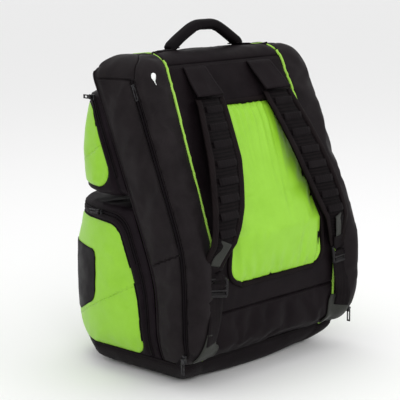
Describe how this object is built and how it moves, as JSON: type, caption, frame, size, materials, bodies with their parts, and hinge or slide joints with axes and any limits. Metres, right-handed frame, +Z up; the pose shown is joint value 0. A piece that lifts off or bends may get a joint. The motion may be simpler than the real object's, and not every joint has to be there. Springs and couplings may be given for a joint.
{
  "type": "racket sports backpack",
  "caption": "Free-standing padded racket backpack with leaning back, side-zipped racket compartment, two domed zipped front pockets, shoulder straps and a top carry handle.",
  "frame": {"origin": "centre of the bounding box in X and Y, on the ground plane under the base", "axes": "+Z up; -Y is the side worn against the back, with the shoulder straps; +Y is the front with the two pockets"},
  "size_m": [0.4304, 0.3533, 0.5735],
  "materials": {
    "black_fabric": "coated polyester weave",
    "lime_fabric": "coated polyester, slight sheen",
    "lime_piping": "woven cord",
    "zip_metal": "worn gunmetal",
    "black_plastic": "moulded",
    "black_webbing": "ribbed webbing",
    "strap_mesh": "air mesh",
    "grey_tab": "grey reinforced webbing",
    "white_print": "printed",
    "patch_print": "plain printed patch",
    "stiffener": "polyethylene board",
    "zip_tape": "coil zip",
    "handle_fabric": "padded webbing"
  },
  "bodies": {
    "bag_shell": {"back_pad": "lime_fabric", "back_panel": "black_fabric", "base_board": "stiffener", "base_panel": "black_fabric", "frame_sheet": "stiffener", "front_panel": "black_fabric", "handle_anchors": "black_webbing", "left_back_strip": "black_fabric", "left_lower_side": "black_fabric", "left_piping": "lime_piping", "left_side_top": "black_fabric", "left_side_zip": "zip_tape", "left_strap_anchor": "grey_tab", "left_strap_yoke": "black_fabric", "lower_back_panel": "black_fabric", "lower_pocket_foot": "lime_fabric", "lower_pocket_gusset": "black_fabric", "lower_pocket_mouth": "black_fabric", "lower_pocket_zip": "zip_tape", "racket_symbol": "white_print", "right_back_strip": "black_fabric", "right_lower_side": "black_fabric", "right_piping": "lime_piping", "right_side_top": "black_fabric", "right_side_zip": "zip_tape", "right_strap_anchor": "grey_tab", "right_strap_yoke": "black_fabric", "top_panel": "black_fabric", "upper_pocket_foot": "lime_fabric", "upper_pocket_gusset": "black_fabric", "upper_pocket_mouth": "black_fabric", "upper_pocket_zip": "zip_tape"},
    "left_door": {"left_racket_door": "black_fabric"},
    "left_strap": {"left_strap_pad": "strap_mesh", "left_strap_tab": "grey_tab", "left_ladder_lock": "black_plastic", "left_strap_webbing": "black_webbing"},
    "left_low_slider_body": {"left_low_slider": "zip_metal"},
    "left_low_pull_body": {"left_low_pull": "zip_metal"},
    "left_top_slider_body": {"left_top_slider": "zip_metal"},
    "left_top_pull_body": {"left_top_pull": "zip_metal"},
    "right_door": {"right_racket_door": "black_fabric"},
    "right_strap": {"right_strap_pad": "strap_mesh", "right_strap_tab": "grey_tab", "right_ladder_lock": "black_plastic", "right_strap_webbing": "black_webbing"},
    "right_low_slider_body": {"right_low_slider": "zip_metal"},
    "right_low_pull_body": {"right_low_pull": "zip_metal"},
    "right_top_slider_body": {"right_top_slider": "zip_metal"},
    "right_top_pull_body": {"right_top_pull": "zip_metal"},
    "lower_lid": {"lower_lid_band": "black_fabric", "lower_lid_panel": "lime_fabric", "blank_patch": "patch_print"},
    "upper_lid": {"upper_lid_band": "black_fabric", "upper_lid_panel": "lime_fabric"},
    "lower_pocket_slider_body": {"lower_pocket_slider": "zip_metal"},
    "lower_pocket_pull_body": {"lower_pocket_pull": "zip_metal"},
    "upper_pocket_slider_body": {"upper_pocket_slider": "zip_metal"},
    "upper_pocket_pull_body": {"upper_pocket_pull": "zip_metal"},
    "handle": {"handle_grip": "handle_fabric"}
  },
  "joints": [
    {"name": "left_door_hinge", "type": "hinge", "parent": "bag_shell", "child": "left_door", "pos_m": [-0.20546, -0.02368, 0.3], "axis": [-0.0108, -0.395, -0.9186], "range_deg": [0, 60]},
    {"name": "left_strap_lift", "type": "hinge", "parent": "bag_shell", "child": "left_strap", "pos_m": [-0.084, -0.06311, 0.452], "axis": [-1, 0, 0], "range_deg": [0, 25]},
    {"name": "left_low_zip", "type": "slide", "parent": "bag_shell", "child": "left_low_slider_body", "axis": [0, 0, 1], "range_m": [0, 0.14]},
    {"name": "left_low_pull_turn", "type": "hinge", "parent": "left_low_slider_body", "child": "left_low_pull_body", "pos_m": [-0.21329, -0.13456, 0.06], "axis": [0, 1, 0], "range_deg": [0, 100]},
    {"name": "left_top_zip", "type": "slide", "parent": "bag_shell", "child": "left_top_slider_body", "axis": [-0.0108, -0.395, -0.9186], "range_m": [0, 0.2]},
    {"name": "left_top_pull_turn", "type": "hinge", "parent": "left_top_slider_body", "child": "left_top_pull_body", "pos_m": [-0.20834, -0.02433, 0.48006], "axis": [-0.0047, 0.9187, -0.395], "range_deg": [0, 100]},
    {"name": "right_door_hinge", "type": "hinge", "parent": "bag_shell", "child": "right_door", "pos_m": [0.20546, -0.02368, 0.3], "axis": [-0.0108, 0.395, 0.9186], "range_deg": [0, 60]},
    {"name": "right_strap_lift", "type": "hinge", "parent": "bag_shell", "child": "right_strap", "pos_m": [0.084, -0.06311, 0.452], "axis": [-1, 0, 0], "range_deg": [0, 25]},
    {"name": "right_low_zip", "type": "slide", "parent": "bag_shell", "child": "right_low_slider_body", "axis": [0, 0, 1], "range_m": [0, 0.14]},
    {"name": "right_low_pull_turn", "type": "hinge", "parent": "right_low_slider_body", "child": "right_low_pull_body", "pos_m": [0.21329, -0.13456, 0.06], "axis": [0, -1, 0], "range_deg": [0, 100]},
    {"name": "right_top_zip", "type": "slide", "parent": "bag_shell", "child": "right_top_slider_body", "axis": [0.0108, -0.395, -0.9186], "range_m": [0, 0.2]},
    {"name": "right_top_pull_turn", "type": "hinge", "parent": "right_top_slider_body", "child": "right_top_pull_body", "pos_m": [0.20834, -0.02433, 0.48006], "axis": [-0.0047, -0.9187, 0.395], "range_deg": [0, 100]},
    {"name": "lower_lid_fold", "type": "hinge", "parent": "bag_shell", "child": "lower_lid", "pos_m": [0, 0.1724, 0.06], "axis": [-1, 0, 0], "range_deg": [0, 75]},
    {"name": "upper_lid_fold", "type": "hinge", "parent": "bag_shell", "child": "upper_lid", "pos_m": [0, 0.1356, 0.326], "axis": [-1, 0, 0], "range_deg": [0, 75]},
    {"name": "lower_pocket_zip_run", "type": "slide", "parent": "lower_lid", "child": "lower_pocket_slider_body", "axis": [0, -1, 0], "range_m": [0, 0.03]},
    {"name": "lower_pocket_pull_turn", "type": "hinge", "parent": "lower_pocket_slider_body", "child": "lower_pocket_pull_body", "pos_m": [-0.21143, 0.0574, 0.2688], "axis": [0, 0, 1], "range_deg": [0, 100]},
    {"name": "upper_pocket_zip_run", "type": "slide", "parent": "upper_lid", "child": "upper_pocket_slider_body", "axis": [0, 1, 0], "range_m": [0, 0.012]},
    {"name": "upper_pocket_pull_turn", "type": "hinge", "parent": "upper_pocket_slider_body", "child": "upper_pocket_pull_body", "pos_m": [-0.20924, 0.0734, 0.4548], "axis": [0, 0, 1], "range_deg": [0, 100]},
    {"name": "handle_fold", "type": "hinge", "parent": "bag_shell", "child": "handle", "pos_m": [0, 0.0184, 0.5361], "axis": [1, 0, 0], "range_deg": [-60, 60], "stiffness_Nm_per_rad": 0.12}
  ]
}
